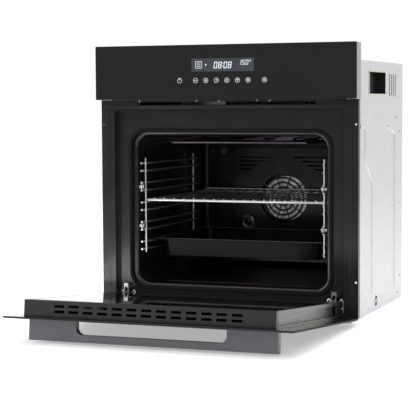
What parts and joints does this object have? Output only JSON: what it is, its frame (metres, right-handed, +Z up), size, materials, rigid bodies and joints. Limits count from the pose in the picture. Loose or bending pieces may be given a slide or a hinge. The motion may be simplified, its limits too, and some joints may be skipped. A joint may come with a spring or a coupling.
{
  "type": "wall oven",
  "caption": "Built-in single wall oven with a drop-down glass door, touch control panel, fan cavity, wire shelf and baking tray.",
  "frame": {"origin": "middle of the front edge of the casing's underside, in the plane of the cabinet's front edge", "axes": "+X to the right as seen from the front, +Y into the cabinet, +Z up; the door is stored open"},
  "size_m": [0.595, 0.9671, 0.595],
  "materials": {
    "black_glass": "gloss black back-printed glass",
    "clear_glass": "float glass",
    "dark_glass": "dark coated inner glass",
    "black_enamel": "vitreous enamel, gloss",
    "galvanised": "galvanised sheet steel",
    "chrome_wire": "chromed steel wire",
    "brushed_steel": "brushed dark steel",
    "zinc_steel": "zinc-plated steel",
    "aluminium": "satin anodised extrusion",
    "black_plastic": "moulded heat-resistant plastic",
    "grey_plastic": "moulded grey plastic",
    "element_steel": "sheathed heating element",
    "mineral_wool": "glass-wool blanket",
    "seal_braid": "braided glass-fibre seal",
    "motor_stack": "laminated motor",
    "circuit_board": "glass-epoxy board",
    "display": "display module"
  },
  "bodies": {
    "oven": {"panel_glass": "black_glass", "panel_bezel": "galvanised", "display_module": "display", "touch_board": "circuit_board", "control_housing": "black_plastic", "front_frame": "black_enamel", "oven_cavity": "black_enamel", "fan_cover": "black_enamel", "fan_motor": "motor_stack", "ring_element": "element_steel", "grill_element": "element_steel", "floor_element": "element_steel", "lamp_socket": "zinc_steel", "lamp_bulb": "clear_glass", "lamp_cover": "clear_glass", "temperature_probe": "zinc_steel", "door_seal": "seal_braid", "side_rack_left": "chrome_wire", "side_rack_right": "chrome_wire", "rack_studs": "zinc_steel", "base_panel": "galvanised", "side_panel_left": "galvanised", "side_panel_right": "galvanised", "top_panel": "galvanised", "back_panel": "galvanised", "insulation_blanket": "mineral_wool", "lift_cup_left": "grey_plastic", "lift_cup_right": "grey_plastic", "air_duct": "galvanised", "blower_housing": "galvanised", "blower_motor": "motor_stack", "terminal_block": "grey_plastic", "cord_gland": "grey_plastic", "hinge_arm_left": "zinc_steel", "hinge_arm_right": "zinc_steel", "hinge_receiver_left": "zinc_steel", "hinge_receiver_right": "zinc_steel", "casing_screws": "zinc_steel"},
    "door": {"door_glass_outer": "black_glass", "door_glass_middle": "clear_glass", "door_glass_inner": "dark_glass", "door_top_profile": "black_plastic", "door_side_profile_left": "aluminium", "door_side_profile_right": "aluminium", "door_corner_left": "black_plastic", "door_corner_right": "black_plastic", "door_bottom_rail": "black_enamel", "hinge_cassette_left": "zinc_steel", "hinge_cassette_right": "zinc_steel", "hinge_pins": "zinc_steel", "hinge_springs": "zinc_steel", "door_handle": "brushed_steel", "handle_screws": "zinc_steel"},
    "convection_fan": {"convection_fan": "zinc_steel"},
    "cooling_rotor": {"blower_rotor": "zinc_steel"},
    "shelf": {"wire_shelf": "chrome_wire"},
    "tray": {"baking_tray": "black_enamel"},
    "lock_left": {"hinge_lock_left": "zinc_steel"},
    "lock_right": {"hinge_lock_right": "zinc_steel"}
  },
  "joints": [
    {"name": "door_swing", "type": "hinge", "parent": "oven", "child": "door", "pos_m": [0, -0.028, 0.023], "axis": [-1, 0, 0], "range_deg": [0, 84.77]},
    {"name": "shelf_slide", "type": "slide", "parent": "oven", "child": "shelf", "axis": [0, 1, 0], "range_m": [-0.3, 0]},
    {"name": "tray_slide", "type": "slide", "parent": "oven", "child": "tray", "axis": [0, 1, 0], "range_m": [-0.3, 0]},
    {"name": "convection_fan_spin", "type": "hinge", "parent": "oven", "child": "convection_fan", "pos_m": [0, 0.4, 0.2365], "axis": [0, 1, 0], "continuous": true},
    {"name": "cooling_rotor_spin", "type": "hinge", "parent": "oven", "child": "cooling_rotor", "pos_m": [0, 0.288, 0.484], "axis": [1, 0, 0], "continuous": true},
    {"name": "hinge_lock_left_flip", "type": "hinge", "parent": "oven", "child": "lock_left", "pos_m": [-0.241, -0.007, 0.04], "axis": [-1, 0, 0], "range_deg": [-85, 0]},
    {"name": "hinge_lock_right_flip", "type": "hinge", "parent": "oven", "child": "lock_right", "pos_m": [0.241, -0.007, 0.04], "axis": [-1, 0, 0], "range_deg": [-85, 0]}
  ]
}
